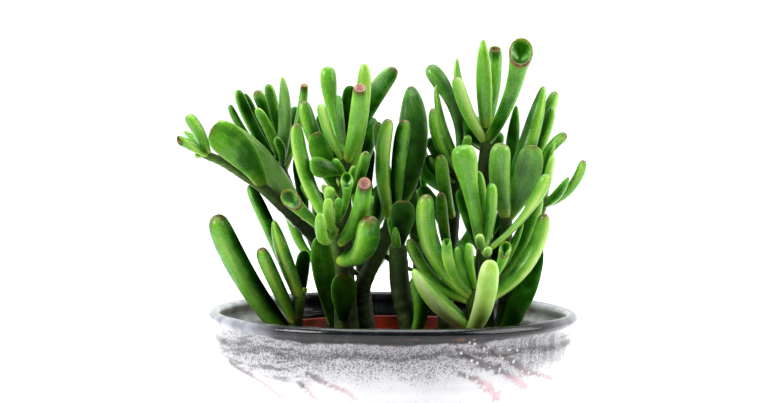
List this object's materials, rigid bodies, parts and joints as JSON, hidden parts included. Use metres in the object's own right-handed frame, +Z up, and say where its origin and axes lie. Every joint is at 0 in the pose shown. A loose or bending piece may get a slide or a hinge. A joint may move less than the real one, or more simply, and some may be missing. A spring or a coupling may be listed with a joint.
{
  "type": "potted trumpet jade plant",
  "caption": "Finger-leaved jade succulent with trumpet and spoon tips, in a plastic nursery pot standing in a round glazed ceramic bowl with a rolled rim.",
  "frame": {"origin": "centre of the bowl's flat foot, on the surface it stands on", "axes": "+Z up, +X to the right seen from the front, and the front faces -Y"},
  "size_m": [0.1623, 0.148, 0.2051],
  "materials": {
    "pot_glaze": "gloss",
    "nursery_plastic": "satin",
    "potting_mix": "matte",
    "leaf_green": "satin"
  },
  "bodies": {
    "root": {"bowl": "pot_glaze", "nursery_pot": "nursery_plastic", "soil": "potting_mix", "low_left_stem": "leaf_green", "arching_left_stem": "leaf_green", "left_fan_stem": "leaf_green", "front_rosette_stem": "leaf_green", "heart_stem": "leaf_green", "middle_stem": "leaf_green", "short_front_stem": "leaf_green", "front_right_stem": "leaf_green", "right_middle_stem": "leaf_green", "right_tall_stem": "leaf_green", "grey_tall_stem": "leaf_green", "far_right_stem": "leaf_green", "right_spoon_stem": "leaf_green", "back_left_stem": "leaf_green", "back_middle_stem": "leaf_green", "back_right_stem": "leaf_green", "back_far_stem": "leaf_green"}
  },
  "joints": []
}
